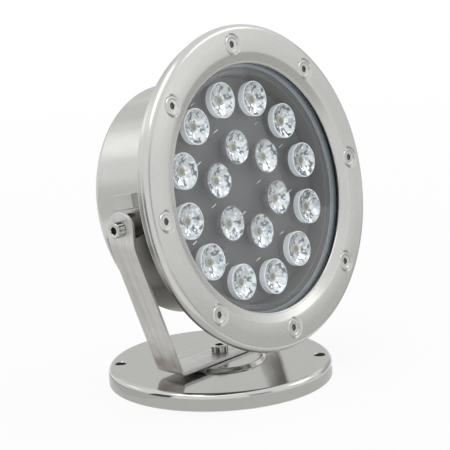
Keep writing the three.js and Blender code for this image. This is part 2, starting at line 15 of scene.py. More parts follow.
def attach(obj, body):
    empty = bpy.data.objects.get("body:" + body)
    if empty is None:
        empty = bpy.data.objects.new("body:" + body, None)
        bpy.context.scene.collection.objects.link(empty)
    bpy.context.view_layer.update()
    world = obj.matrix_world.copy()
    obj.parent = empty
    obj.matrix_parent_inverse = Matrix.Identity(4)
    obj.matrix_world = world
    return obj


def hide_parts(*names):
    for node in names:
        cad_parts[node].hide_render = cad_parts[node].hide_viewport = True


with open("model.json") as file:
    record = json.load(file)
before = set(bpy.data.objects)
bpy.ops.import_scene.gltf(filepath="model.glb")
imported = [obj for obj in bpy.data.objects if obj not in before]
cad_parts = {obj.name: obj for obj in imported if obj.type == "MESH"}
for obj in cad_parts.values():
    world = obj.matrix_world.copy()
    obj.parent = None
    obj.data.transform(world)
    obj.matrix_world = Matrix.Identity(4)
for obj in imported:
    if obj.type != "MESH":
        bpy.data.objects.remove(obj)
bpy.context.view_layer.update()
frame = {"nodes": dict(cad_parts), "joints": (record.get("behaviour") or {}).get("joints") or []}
MM = 0.001
scene = bpy.context.scene
scene.view_settings.view_transform = "Standard"

# %% [markdown]
# ## Where the lamp stands
# The lamp head is turned about its pivot, so its pieces are made upright, along their own axis, and
# then placed by one matrix. In that frame Z is the beam, Y is up the glass, and heights are counted
# from the pivot. Lengths are in millimetres until a mesh is made.

# %% Frames of the three bodies
REST_TILT = math.radians(10.9)
AXIS_RISE = 5

tilt_joint = next(joint for joint in frame["joints"] if joint["name"] == "head_tilt")
pivot = Vector(tilt_joint["pos_m"])
WORLD = Matrix.Identity(4)
HEAD = Matrix.Translation(pivot) @ Matrix.Rotation(math.pi / 2 - REST_TILT, 4, "X")
LAMP = HEAD @ Matrix.Translation((0, AXIS_RISE * MM, 0))
print("the pivot is", round(pivot.z / MM, 1), "mm above the floor")

# %% [markdown]
# ## The camera
# A product photo is taken from far away with a long lens, so that circles stay true. The camera here
# looks from the lamp's left, a little above it, and is rolled by a few degrees as the photo is.

# %% Place the camera
CAMERA_TURN = math.radians(48.95)
CAMERA_FALL = math.radians(12.68)
CAMERA_ROLL = math.radians(-2.83)
CAMERA_DISTANCE = 977.8
CAMERA_FOCUS_PIXELS = 1701.4
PHOTO_PIXELS = 450
SENSOR = 36
AIM_ACROSS = 2.33
AIM_HEIGHT = 86.51

looking = Vector((
    math.sin(CAMERA_TURN) * math.cos(CAMERA_FALL),
    math.cos(CAMERA_TURN) * math.cos(CAMERA_FALL),
    -math.sin(CAMERA_FALL),
))
across = Vector((math.cos(CAMERA_TURN), -math.sin(CAMERA_TURN), 0))
upward = across.cross(looking)
across_rolled = across * math.cos(CAMERA_ROLL) + upward * math.sin(CAMERA_ROLL)
upward_rolled = upward * math.cos(CAMERA_ROLL) - across * math.sin(CAMERA_ROLL)
aim = (across_rolled * AIM_ACROSS + upward_rolled * AIM_HEIGHT) * MM


def placed(name, data):
    """A new object in the scene."""
    obj = bpy.data.objects.new(name, data)
    scene.collection.objects.link(obj)
    return obj


camera = placed("camera", bpy.data.cameras.new("camera"))
scene.camera = camera
camera.data.sensor_width = SENSOR
camera.data.lens = CAMERA_FOCUS_PIXELS * SENSOR / PHOTO_PIXELS
camera.data.clip_start = 0.01
stand = Matrix((across_rolled, upward_rolled, -looking)).transposed().to_4x4()
stand.translation = aim - looking * CAMERA_DISTANCE * MM
camera.matrix_world = stand
print("the lens is", round(camera.data.lens, 1), "mm long")

# %% [markdown]
# ## Writing finishes as sums
# A finish is a tree of small nodes, and sums and products are the most common of them. The class
# Value wraps the output of a node and gives it Python's own operators, so a mask can be written as
# 1 - rust * 0.5 and the Math nodes appear by themselves. Every other node comes from Finish.node.

# %% Values
class Value:
    """What comes out of a node. Arithmetic on numbers adds Math nodes."""

    def __init__(self, finish, socket):
        self.finish = finish
        self.socket = socket

    def maths(self, operation, *values):
        return self.finish.node("ShaderNodeMath", {"operation": operation}, dict(enumerate(values)))

    def __add__(self, other):
        return self.maths("ADD", self, other)

    def __sub__(self, other):
        return self.maths("SUBTRACT", self, other)

    def __rsub__(self, other):
        return self.maths("SUBTRACT", other, self)

    def __mul__(self, other):
        return self.maths("MULTIPLY", self, other)

    def __truediv__(self, other):
        return self.maths("DIVIDE", self, other)

    def __rtruediv__(self, other):
        return self.maths("DIVIDE", other, self)

    __radd__ = __add__
    __rmul__ = __mul__

    def ramp(self, low, high, start=0, end=1):
        """A number that goes from `start` to `end` while this one goes from `low` to `high`."""
        inputs = {"Value": self, "From Min": low, "From Max": high, "To Min": start, "To Max": end}
        return self.finish.node("ShaderNodeMapRange", {}, inputs)

    def output(self, name):
        """Another output of the same node."""
        return Value(self.finish, self.socket.node.outputs[name])


print("values can be added and multiplied")

# %% Finishes
class Finish:
    """The nodes of one finish, or of the room."""

    def __init__(self, name, owner=None):
        self.owner = owner or bpy.data.materials.new(name)
        self.owner.use_nodes = True
        self.tree = self.owner.node_tree
        self.tree.nodes.clear()

    def node(self, kind, settings=None, inputs=None, output=0):
        """A new node: its settings are made first, then its inputs. Gives one of its outputs."""
        node = self.tree.nodes.new(kind)
        for name, setting in (settings or {}).items():
            setattr(node, name, setting)
        for name, value in (inputs or {}).items():
            if isinstance(value, Value):
                self.tree.links.new(value.socket, node.inputs[name])
            else:
                node.inputs[name].default_value = value
        return Value(self, node.outputs[output]) if node.outputs else None

    def on_piece(self):
        """The place of a point on the piece, in metres along the piece's own axes."""
        return self.node("ShaderNodeTexCoord", {}, {}, "Object")

    def cloud(self, place, scale, detail):
        """Soft noise between 0 and 1, with about `scale` patches to the metre."""
        return self.node("ShaderNodeTexNoise", {}, {"Vector": place, "Scale": scale, "Detail": detail})

    def dents(self, height, depth):
        """The normal of a skin that rises by `depth` millimetres while the height goes from 0 to 1."""
        return self.node("ShaderNodeBump", {}, {"Height": height, "Distance": depth * MM, "Strength": 1})

    def blend(self, amount, first, second):
        """A colour between two others."""
        inputs = {"Factor": amount, 6: first, 7: second}
        return self.node("ShaderNodeMix", {"data_type": "RGBA"}, inputs, 2)

    def mixed(self, amount, first, second):
        """A shader between two others."""
        return self.node("ShaderNodeMixShader", {}, {0: amount, 1: first, 2: second})

    def show(self, shader, kind="ShaderNodeOutputMaterial"):
        self.node(kind, {}, {"Surface": shader})


print("finishes are ready to be written")

# %% [markdown]
# ## The studio
# The light stands on a white floor in a white room, as in a product photo. The floor shines with its
# own white, with a small share of matt paper that takes the shadow and fades out before a horizon
# shows. Polished steel shows nothing but its surroundings, so a white room alone would leave it
# flat. Photographers hang cloths, screens and bright windows just outside the picture, and the steel
# gets its shading from them. The sheets here do the same, and only mirrors and lenses see them.

# %% White room
ROOM_LIGHT = 0.75

room = Finish("room", bpy.data.worlds.new("room"))
scene.world = room.owner
ray = room.node("ShaderNodeLightPath")
mirrored = ray.maths("MAXIMUM", ray.output("Is Glossy Ray"), ray.output("Is Transmission Ray"))
seen = ray.maths("MAXIMUM", ray.output("Is Camera Ray"), mirrored)
white_wall = room.node("ShaderNodeBackground", {}, {"Color": (1, 1, 1, 1), "Strength": 1})
soft_light = room.node("ShaderNodeBackground", {}, {"Color": (1, 0.99, 0.98, 1), "Strength": ROOM_LIGHT})
room.show(room.mixed(seen, soft_light, white_wall), "ShaderNodeOutputWorld")
print("the room is white, and lights the lamp with", ROOM_LIGHT, "of that")

# %% White floor
FLOOR_SIZE = 12000
FLOOR_SHADOW = 0.12
PAPER_RADIUS = 60
SHADOW_NEAR = 300
SHADOW_FAR = 1200


def sheet(name, width, height, finish, place):
    """A flat sheet of the studio, facing its own +Z."""
    mesh = bpy.data.meshes.new(name)
    x, y = width / 2 * MM, height / 2 * MM
    mesh.from_pydata([(-x, -y, 0), (x, -y, 0), (x, y, 0), (-x, y, 0)], [], [(0, 1, 2, 3)])
    mesh.materials.append(finish.owner)
    obj = placed(name, mesh)
    obj.matrix_world = place
    return obj


paper = Finish("floor_paper")
matt_white = paper.node("ShaderNodeBsdfDiffuse", {}, {"Color": (0.95, 0.95, 0.95, 1)})
own_light = paper.node("ShaderNodeEmission", {}, {"Color": (1, 1, 1, 1), "Strength": 1})
distance = paper.node("ShaderNodeVectorMath", {"operation": "LENGTH"}, {0: paper.on_piece()}, "Value")
covered = distance.maths("LESS_THAN", distance, PAPER_RADIUS * MM)
shaded = distance.ramp(SHADOW_NEAR * MM, SHADOW_FAR * MM, FLOOR_SHADOW, 0)
paper.show(paper.mixed(covered.maths("MAXIMUM", covered, shaded), own_light, matt_white))
sheet("floor", FLOOR_SIZE, FLOOR_SIZE, paper, WORLD)
print("the floor is", FLOOR_SIZE / 1000, "m wide")

# %% Screens, cloths and lamps
LIGHT_MIDDLE = 100
CLOTH_LIFT = 0.5


def facing_light(turn, rise, distance):
    """A place `distance` from the light, turned to face it. `turn` is from +Y towards +X, in degrees."""
    turn, rise = math.radians(turn), math.radians(rise)
    away = Vector((math.sin(turn) * math.cos(rise), math.cos(turn) * math.cos(rise), math.sin(rise)))
    spin = (-away).to_track_quat("Z", "Y").to_matrix().to_4x4()
    return Matrix.Translation((away * distance + Vector((0, 0, LIGHT_MIDDLE))) * MM) @ spin


def mirrored_sheet(name, width, height, shade, place):
    """A sheet of one shade that only mirrors and lenses see."""
    cloth = Finish(name)
    cloth.show(cloth.node("ShaderNodeEmission", {}, {"Color": (*shade, 1), "Strength": 1}))
    obj = sheet(name, width, height, cloth, place)
    obj.visible_camera = obj.visible_diffuse = obj.visible_shadow = False


def screen(name, turn, rise, distance, width, height, shade):
    """A screen or a bright window that faces the light."""
    mirrored_sheet(name, width, height, shade, facing_light(turn, rise, distance))


def floor_cloth(name, turn, distance, width, length, shade):
    """A cloth that lies on the floor."""
    place = Matrix.Translation((0, distance * MM, CLOTH_LIFT * MM))
    mirrored_sheet(name, width, length, shade, Matrix.Rotation(-math.radians(turn), 4, "Z") @ place)


def soft_lamp(name, turn, rise, distance, width, height, brightness):
    """A soft lamp with a rectangular window. A brightness of 1 is the white of the room."""
    light = bpy.data.lights.new(name, "AREA")
    light.shape = "RECTANGLE"
    light.size, light.size_y = width * MM, height * MM
    light.energy = brightness * math.pi * width * height * MM * MM
    obj = placed(name, light)
    obj.matrix_world = facing_light(turn, rise, distance) @ Matrix.Rotation(math.pi, 4, "X")


soft_lamp("lamp_above", -90, 72, 1400, 1000, 1000, 1.3)
soft_lamp("lamp_right", 128, 34, 1600, 700, 500, 1.6)
screen("window_front", 140, 13, 1500, 150, 190, (1.7, 1.7, 1.67))
screen("window_left", -20, 31, 1500, 620, 260, (1.5, 1.5, 1.48))
screen("screen_front", 126.5, 5.5, 1500, 220, 230, (0.62, 0.62, 0.61))
screen("screen_right", 92, 2, 1500, 900, 900, (0.55, 0.55, 0.54))
screen("screen_ahead", 190, 13, 1500, 620, 900, (0.47, 0.485, 0.52))
screen("screen_behind", 49, 14, 1500, 2200, 700, (0.71, 0.71, 0.7))
screen("screen_above_behind", 14, 35, 1500, 500, 420, (0.78, 0.78, 0.76))
screen("screen_far_left", -49, 3, 2000, 1600, 620, (0.74, 0.74, 0.72))
screen("strip_left", -76.5, -8.6, 221, 80, 134, (0.08, 0.08, 0.09))
floor_cloth("cloth_in_front", 135, 620, 900, 1000, (0.55, 0.55, 0.54))
floor_cloth("cloth_far_in_front", 132, 2100, 1800, 1900, (0.72, 0.72, 0.7))
floor_cloth("cloth_left", -60, 158, 150, 180, (0.45, 0.44, 0.42))
floor_cloth("cloth_round_base", -119, 51, 150, 140, (0.66, 0.66, 0.65))
floor_cloth("cloth_far_left", -48, 1300, 1600, 1600, (0.75, 0.75, 0.73))

# %% [markdown]
# ## Shapes for a lathe
# Nearly everything on this light is turned or pressed round, so its surface is one outline swept
# about an axis. Modelling in rings by code keeps every radius exact, which pushing points by hand
# would not. The corners of an outline are rounded first, because no real metal edge is perfectly
# sharp, and the thin bright lines in a product photo are the light on those small rounds.

# %% Rounded outlines
def rounded(corners, step=math.radians(9)):
    """An outline whose corners (x, y) stay sharp and whose corners (x, y, radius) become arcs."""
    points = []
    for index, corner in enumerate(corners):
        here = Vector(corner[:2])
        if len(corner) < 3:
            points.append((here.x, here.y))
            continue
        into = (here - Vector(corners[index - 1][:2])).normalized()
        out = (Vector(corners[(index + 1) % len(corners)][:2]) - here).normalized()
        turn = math.atan2(into.x * out.y - into.y * out.x, into.dot(out))
        start = here - into * corner[2] * math.tan(abs(turn) / 2)
        middle = start + Vector((-into.y, into.x)) * math.copysign(corner[2], turn)
        spoke = start - middle
        count = max(2, round(abs(turn) / step))
        for part in range(count + 1):
            arm = Matrix.Rotation(turn * part / count, 2) @ spoke
            points.append((middle.x + arm.x, middle.y + arm.y))
    return points


print("a corner rounded at 1 mm has", len(rounded([(0, 0), (2, 0, 1), (2, 2)])) - 2, "points")


# %% Turned and sawn blanks
def mesh_of(shape, unit=MM):
    """A Blender mesh from a shape in millimetres, or in another unit."""
    mesh = bpy.data.meshes.new("shape")
    shape.to_mesh(mesh)
    shape.free()
    mesh.transform(Matrix.Scale(unit, 4))
    return mesh


def turned(outline, sides=192):
    """A mesh turned about Z from an anticlockwise outline of (radius, height)."""
    shape = bmesh.new()
    rings = []
    for radius, height in outline:
        spots = 1 if radius == 0 else sides
        angles = [2 * math.pi * spot / spots for spot in range(spots)]
        rings.append([shape.verts.new((radius * math.cos(a), radius * math.sin(a), height)) for a in angles])
    for low, high in zip(rings, rings[1:] + rings[:1]):
        for spot in range(sides):
            after = (spot + 1) % sides
            corners = [low[spot % len(low)], low[after % len(low)]]
            corners += [high[after % len(high)], high[spot % len(high)]]
            corners = list(dict.fromkeys(corners))
            if len(corners) > 2:
                shape.faces.new(corners)
    return mesh_of(shape)


def sawn(outline, bottom, top):
    """A straight blank with an anticlockwise outline of (x, y)."""
    shape = bmesh.new()
    low = [shape.verts.new((x, y, bottom)) for x, y in outline]
    high = [shape.verts.new((x, y, top)) for x, y in outline]
    shape.faces.new(low[::-1])
    shape.faces.new(high)
    for spot in range(len(low)):
        shape.faces.new((low[spot - 1], low[spot], high[spot], high[spot - 1]))
    return mesh_of(shape)


def block(x_ends, y_ends, z_ends):
    """A straight block between two ends along each axis."""
    (left, right), (near, far) = x_ends, y_ends
    return sawn([(left, near), (right, near), (right, far), (left, far)], *z_ends)


def polygon(sides, radius, start=0):
    """The corners of a regular polygon."""
    angles = [start + 2 * math.pi * corner / sides for corner in range(sides)]
    return [(radius * math.cos(angle), radius * math.sin(angle)) for angle in angles]


def disc(radius, bottom, top, soft_bottom=0.0, soft_top=0.0, sides=192):
    """A round bar on the Z axis. An edge that is given a softness is rounded."""
    def edge(height, soft):
        return (radius, height, soft) if soft else (radius, height)
    return turned(rounded([(0, bottom), edge(bottom, soft_bottom), edge(top, soft_top), (0, top)]), sides)


def circle_of(count, radius, first):
    """`count` places on a circle, the first at `first` degrees."""
    return polygon(count, radius, math.radians(first))


print("a square blank has", len(block((0, 1), (0, 1), (0, 1)).polygons), "faces")

# %% [markdown]
# ## Drilling, joining and softening
# Holes are cut with the Boolean modifier, which is what a drill does to a blank. Its exact solver
# copes with cutters that meet a face squarely. Bevels are left to the Bevel modifier where an edge
# is straight, because it keeps an even width round every corner. A modifier is applied as soon as
# it has done its work, so the next tool gets plain geometry.

# %% Carving and softening
BEVEL_ANGLE = math.radians(40)


def applied(mesh, kind, settings):
    """The mesh after one modifier."""
    obj = placed("workpiece", mesh)
    modifier = obj.modifiers.new(kind, kind)
    for name, setting in settings.items():
        setattr(modifier, name, setting)
    graph = bpy.context.evaluated_depsgraph_get()
    result = bpy.data.meshes.new_from_object(obj.evaluated_get(graph), depsgraph=graph)
    bpy.data.objects.remove(obj)
    return result


def carved(mesh, cutter, operation="DIFFERENCE"):
    """The mesh with a cutter taken away. By `operation`, it is joined to it or trimmed to it instead."""
    tool = placed("cutter", cutter)
    result = applied(mesh, "BOOLEAN", {"object": tool, "operation": operation, "solver": "EXACT"})
    bpy.data.objects.remove(tool)
    return result


def softened(mesh, width):
    """The mesh with its sharp edges rounded. `width` is in millimetres."""
    settings = {"width": width * MM, "segments": 3, "limit_method": "ANGLE", "angle_limit": BEVEL_ANGLE}
    return applied(mesh, "BEVEL", settings)


print("edges over", round(math.degrees(BEVEL_ANGLE)), "degrees can be softened")

# %% Moving and joining
def moved(mesh, place):
    """A copy of a mesh in another place."""
    copy = mesh.copy()
    copy.transform(place)
    return copy


def shifted(mesh, x, y, z=0):
    """A copy of a mesh, moved by millimetres."""
    return moved(mesh, Matrix.Translation(Vector((x, y, z)) * MM))


def together(*meshes):
    """Several meshes as one."""
    shape = bmesh.new()
    for mesh in meshes:
        shape.from_mesh(mesh)
    return mesh_of(shape, 1)


def at_each(mesh, places):
    """Copies of a mesh at several places, as one."""
    return together(*[shifted(mesh, x, y) for x, y in places])


print("copies can be moved and joined")

# %% Setting a piece on its body
SMOOTH_ANGLE = math.radians(32)


def fit(name, mesh, finish, place, body, *nodes):
    """A finished piece: its mesh, finish and place, the body that it rides on and what it replaces."""
    mesh.name = name
    mesh.shade_smooth()
    mesh.set_sharp_from_angle(angle=SMOOTH_ANGLE)
    mesh.materials.clear()
    mesh.materials.append(finish.owner)
    obj = placed(name, mesh)
    obj.matrix_world = place
    even = obj.modifiers.new("even shading", "WEIGHTED_NORMAL")
    even.keep_sharp = True
    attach(obj, body)
    if nodes:
        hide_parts(*nodes)
    return obj


def paint(obj, finish, chosen):
    """Gives another finish to the faces for which chosen(centre, normal) is true, in millimetres."""
    obj.data.materials.append(finish.owner)
    for face in obj.data.polygons:
        if chosen(face.center / MM, face.normal):
            face.material_index = len(obj.data.materials) - 1


# %% [markdown]
# ## Steel
# The whole light is stainless steel. The base is a mirror, the bezel is polished on a wheel, the
# bracket is brushed along its strip, and the drum, the flange and the screws keep turning marks.
# Bare metal is one shader with Metallic at 1, or 0.7 for the open grain of the bracket. The rest is
# in the scratches: noise stretched along the direction of the work, which moves the normal through a
# Bump node and the roughness with it. A second, slow noise stands for fingerprints and haze.

# %% Steel
HAZE_SCALE = 26
SMUDGE_SCALE = 210
QUARTER_TURN = 0.25


def steel(name, bright, dull, roughness, haze, grain, depth, spread=0.0, tint=None, metallic=1.0):
    """Steel whose scratches come from grain(finish, place), and are `depth` millimetres deep.

    `spread` is how much wider a highlight is across the turning marks than along them.
    """
    finish = Finish(name)
    place = finish.on_piece()
    scratches = grain(finish, place)
    wear = finish.cloud(place, HAZE_SCALE, 4) * 0.7 + finish.cloud(place, SMUDGE_SCALE, 2) * 0.3
    colour = finish.blend(wear * 0.6 + scratches * 0.4, (*bright, 1), (*dull, 1))
    if tint:
        colour = tint(finish, place, colour)
    finish.show(finish.node("ShaderNodeBsdfPrincipled", {}, {
        "Base Color": colour,
        "Metallic": metallic,
        "Anisotropic": spread,
        "Anisotropic Rotation": QUARTER_TURN,
        "Roughness": roughness + wear * haze + scratches * (haze / 2),
        "Normal": finish.dents(scratches, depth),
    }))
    return finish


print("steel can be mixed")

# %% Scratches
FINE_STREAKS = (14, 900, 14)
BROAD_STREAKS = (5, 260, 5)


def grain_along_strip(finish, place):
    """Scratches along the bracket, from noise that changes quickly across it, in fine and broad streaks."""
    def streaks(scale):
        return finish.cloud(finish.node("ShaderNodeMapping", {}, {"Vector": place, "Scale": scale}), 1, 4)
    return (streaks(FINE_STREAKS) * 0.35 + streaks(BROAD_STREAKS) * 0.65) * 2.6 - 0.8


def turned_grain(per_metre, turns):
    """Scratches that run round the Z axis, as a lathe or a polishing wheel leaves them."""
    def grain(finish, place):
        x = finish.node("ShaderNodeSeparateXYZ", {}, {"Vector": place})
        y, z = x.output("Y"), x.output("Z")
        radius = x.maths("SQRT", x * x + y * y) + 0.0001
        ring = finish.node("ShaderNodeCombineXYZ", {}, {
            "X": x / radius * turns,
            "Y": y / radius * turns,
            "Z": radius * per_metre,
        })
        inputs = {"Vector": ring, "W": z * per_metre, "Scale": 1, "Detail": 4}
        return finish.node("ShaderNodeTexNoise", {"noise_dimensions": "4D"}, inputs)
    return grain


print("broad streaks on the strip are", round(1000 / BROAD_STREAKS[1], 1), "mm wide")

# %% [markdown]
# ## Tints and painted shade on the steel
# The sides of the drum and the flange are painted dark brown below the pivot, as painted shade for
# the dark that their polished steel mirrors there. The strip is tinted straw low on its arms, and the
# knurl of each screw's head has dark streaks of painted shade. Each tint is a mask from the place on
# the piece, because a painted picture would need unwrapped pieces.

# %% Tints
STRAW = (0.17, 0.115, 0.075, 1)
# The dark brown of the painted shade on the sides of the drum and the flange.
SIDE_SHADE_BROWN = (0.115, 0.106, 0.092, 1)
# Near black, for the painted shade in streaks on the knurled sides of screw heads.
KNURL_SHADE = (0.035, 0.034, 0.032, 1)


def straw_at_bends(finish, place, colour):
    """A faint straw tint low on the strip's arms, near its lower bends."""
    side = finish.node("ShaderNodeSeparateXYZ", {}, {"Vector": place})
    outside = side.maths("ABSOLUTE", side).ramp(0.041, 0.045)
    low = side.output("Z").ramp(0.042, 0.014)
    patches = finish.cloud(place, 130, 2)
    return finish.blend(outside * low * low * patches * 1.8, colour, STRAW)


def painted_side_shade(edge, *patches):
    """Painted shade: dark brown on both sides, outside of the radius `edge`.

    Each patch is two ranges in metres, one of Y and one of Z, over which the tint comes on.
    """
    def tint(finish, place, colour):
        side = finish.node("ShaderNodeSeparateXYZ", {}, {"Vector": place})
        y, z = side.output("Y"), side.output("Z")
        radius = side.maths("SQRT", side * side + y * y)
        dark = 0
        for along_y, along_z in patches:
            dark = side.maths("MAXIMUM", dark, y.ramp(*along_y) * z.ramp(*along_z))
        dark = dark * radius.ramp(edge - 0.001, edge) * side.maths("ABSOLUTE", side).ramp(0.016, 0.034)
        return finish.blend(dark, colour, SIDE_SHADE_BROWN)
    return tint


def knurl_shade_streaks(finish, place, colour):
    """Painted shade: dark streaks along the Z axis, round the side of a screw's head."""
    dirt = turned_grain(0, 3)(finish, place).ramp(0.47, 0.53)
    return finish.blend(dirt, colour, KNURL_SHADE)


print("three tints are ready")

# %% Nine steels
BRIGHT, DULL = (0.63, 0.628, 0.612), (0.55, 0.548, 0.533)
ANYWHERE = (-1, -0.9)
BEHIND_ARMS = ((-0.001, -0.008), (0, 0.009))


def satin_steel(name, tint=None):
    """Steel with the fine marks of a lathe, as on the drum and the flange."""
    return steel(name, BRIGHT, DULL, 0.14, 0.12, turned_grain(2400, 6), 0.006, 0.6, tint)


# The knurled side of a head carries painted shade in dark streaks.
knurled = steel("knurled_steel", BRIGHT, DULL, 0.12, 0.12, turned_grain(0, 24), 0.05, tint=knurl_shade_streaks)
mirror_steel = steel("mirror_steel", BRIGHT, DULL, 0.06, 0.08, turned_grain(900, 9), 0.003)
polished = steel("polished_steel", BRIGHT, DULL, 0.17, 0.12, turned_grain(2400, 5), 0.008, 0.6)
turned_steel = steel("turned_steel", BRIGHT, DULL, 0.12, 0.12, turned_grain(2600, 7), 0.004)
satin = satin_steel("satin_steel")
# The drum and the flange carry painted shade on their sides below the pivot.
drum_steel = satin_steel("drum_steel", painted_side_shade(0.0635, BEHIND_ARMS, ((-0.026, -0.042), ANYWHERE)))
flange_steel = satin_steel("flange_steel", painted_side_shade(0.0865, ((-0.028, -0.042), ANYWHERE)))
brushed = steel("brushed_steel", (1, 0.998, 0.985), (0.42, 0.417, 0.41), 0.3, 0.1,
                grain_along_strip, 0.02, tint=straw_at_bends, metallic=0.7)
# Dark steel, for the painted shade on the round sides of the pivot bosses.
boss_shade = steel("boss_shade_steel", (0.2, 0.185, 0.17), (0.1, 0.09, 0.08), 0.3, 0.15,
                 turned_grain(2600, 7), 0.01)
print("nine steels are mixed")

# %% [markdown]
# ## Coatings and painted shade
# What isn't bare metal is dull: the board's coating, rubber, plastic, and the painted shade in sockets
# and holes. One recipe does for all, with a fine noise that varies shade, roughness and skin together.
# Plastic that lets light through gets a little glow, which is painted light and cheaper than true
# scattering on so small a piece.

# %% Paint and shade
def matt(name, dark, pale, roughness, depth, scale, glow=0.0):
    """A dull material with a fine uneven skin. `glow` is painted light, for the light that reaches it
    through itself.
    """
    finish = Finish(name)
    skin = finish.cloud(finish.on_piece(), scale, 3)
    finish.show(finish.node("ShaderNodeBsdfPrincipled", {}, {
        "Emission Color": (*pale, 1),
        "Emission Strength": glow,
        "Base Color": finish.blend(skin, (*dark, 1), (*pale, 1)),
        "Roughness": roughness + skin * 0.15,
        "Normal": finish.dents(skin, depth),
    }))
    return finish


coating = matt("board_coating", (0.114, 0.116, 0.125), (0.13, 0.132, 0.141), 0.5, 0.02, 1500)
# Near black, for the painted shade inside sockets and holes.
recess_shade = matt("socket_shade", (0.03, 0.029, 0.027), (0.06, 0.058, 0.054), 0.5, 0.03, 1600)
print("paint and grime are mixed")

# %% [markdown]
# ## The base
# The base is one sheet of steel, pressed into a shallow dish that lies upside down. A seat stands up
# in its middle for the bracket, and two holes near the rim take fixing screws. It could be a thick
# disc with a bump, but a real one is hollow, and the light that catches the inside of its rim shows
# that from below. So the outline follows the sheet's both sides.

# %% Press the base
BASE_RADIUS = 64
BASE_HEIGHT = 9.9
BASE_WALL = 2
SEAT_RADIUS = 24
SEAT_TOP = 11.9
SEAT_FOOT = 26.4
SEAT_ROUND = 1.6
FIXING_CIRCLE = 57.1
FIXING_RADIUS = 3.25
BOLT_HOLE = 3.3

outline = rounded([
    (0, SEAT_TOP - BASE_WALL),
    (SEAT_RADIUS - 1, SEAT_TOP - BASE_WALL, SEAT_ROUND),
    (SEAT_FOOT - 1, BASE_HEIGHT - BASE_WALL, SEAT_ROUND),
    (BASE_RADIUS - BASE_WALL, BASE_HEIGHT - BASE_WALL, 1),
    (BASE_RADIUS - BASE_WALL, 0, 0.4),
    (BASE_RADIUS, 0, 0.5),
    (BASE_RADIUS, BASE_HEIGHT, 3),
    (SEAT_FOOT, BASE_HEIGHT, SEAT_ROUND),
    (SEAT_RADIUS, SEAT_TOP, SEAT_ROUND),
    (0, SEAT_TOP),
])


def drill(radius, bottom, top, flare=0.0, sides=48):
    """A cutter for a round hole. Its mouth flares at 45 degrees, which leaves a broken edge."""
    return turned([
        (0, bottom),
        (radius, bottom),
        (radius, top - flare),
        (radius + flare + 0.4, top + 0.4),
        (0, top + 0.4),
    ], sides)


hole_spots = circle_of(2, FIXING_CIRCLE, -49.8)
holes = at_each(drill(FIXING_RADIUS, -1, BASE_HEIGHT, 0.3), hole_spots)
holes = together(holes, drill(BOLT_HOLE, -1, SEAT_TOP, 0.2))
base = fit("fine_base_plate", carved(turned(outline), holes), mirror_steel, WORLD, "base", "base_plate")
# The walls of the fixing holes are painted near black, as painted shade.
paint(base, recess_shade, lambda centre, normal: min(
    (centre.xy - Vector(spot)).length for spot in hole_spots) < FIXING_RADIUS + 0.1)
print("the base is", 2 * BASE_RADIUS, "mm across")

# %% [markdown]
# ## Screws with a hexagon socket
# The bracket turns on one bolt, and the lamp tilts on two more. Their heads are turned, and the
# hexagon socket is pressed in by a punch. The socket is cut with a six-sided prism, and a small
# cone at its mouth gives the bright ring that a real socket has.

# %% Cap screws
HEX_FLATS = 0.87
SOCKET_MOUTH = 0.25


def cap_screw(shank, length, head, head_height, socket, socket_depth, tip=0.5):
    """A bolt that stands on its tip, with its socket upwards."""
    top = length + head_height
    body = turned(rounded([
        (0, 0),
        (shank - tip, 0),
        (shank, tip),
        (shank, length),
        (head, length, 0.25),
        (head, top, 0.6),
        (0, top),
    ]), 96)
    punch = sawn(polygon(6, socket, math.pi / 6), top - socket_depth, top + 1)
    mouth = turned([
        (0, top - SOCKET_MOUTH),
        (socket * HEX_FLATS, top - SOCKET_MOUTH),
        (socket + SOCKET_MOUTH, top + SOCKET_MOUTH),
        (0, top + SOCKET_MOUTH),
    ], 48)
    return carved(carved(body, punch), mouth)


def inside_socket(radius, below):
    """Picks the faces inside a socket, which are painted dark as painted shade."""
    return lambda centre, normal: centre.xy.length < radius and centre.z < below and normal.z > -0.5


def head_side(radius):
    """Picks the straight side of a screw's head."""
    return lambda centre, normal: centre.xy.length > radius - 0.1 and abs(normal.z) < 0.1


BOLT_TIP = 1.5
BOLT_HEAD = 4.8
bolt = cap_screw(shank=3, length=13, head=BOLT_HEAD, head_height=4.2, socket=2.6, socket_depth=2.4)
upright = Matrix.Translation((0, 0, BOLT_TIP * MM))
swivel_bolt = fit("fine_swivel_bolt", bolt, turned_steel, upright, "base", "swivel_bolt")
# The socket is painted near black, as painted shade.
paint(swivel_bolt, recess_shade, inside_socket(2.5, 16.9))
paint(swivel_bolt, knurled, head_side(BOLT_HEAD))
print("the swivel bolt's head is", 2 * BOLT_HEAD, "mm across")

# %% Washers and nuts
NUT_FACE = 0.88
NUT_SLOPE = 0.6


def washer(bore, radius, bottom, top, soft=0.2, sides=96):
    """A flat ring with soft edges."""
    return turned(rounded([
        (bore, bottom, soft), (radius, bottom, soft), (radius, top, soft), (bore, top, soft),
    ]), sides)


def hexagon_nut(bore, radius, bottom, top):
    """A nut, or the hexagon of a gland. Its corners are turned down to a cone at both faces."""
    face = radius * NUT_FACE
    slope = (radius - face) * NUT_SLOPE
    cone = turned([
        (0, bottom), (face, bottom), (radius, bottom + slope), (radius, top - slope), (face, top), (0, top),
    ], 96)
    mouth = bore + 1.3
    hole = turned([
        (0, bottom - 1), (mouth, bottom - 1), (bore, bottom + 0.3),
        (bore, top - 0.3), (mouth, top + 1), (0, top + 1),
    ], 96)
    blank = sawn(polygon(6, radius), bottom, top)
    return carved(carved(blank, cone, "INTERSECT"), hole)


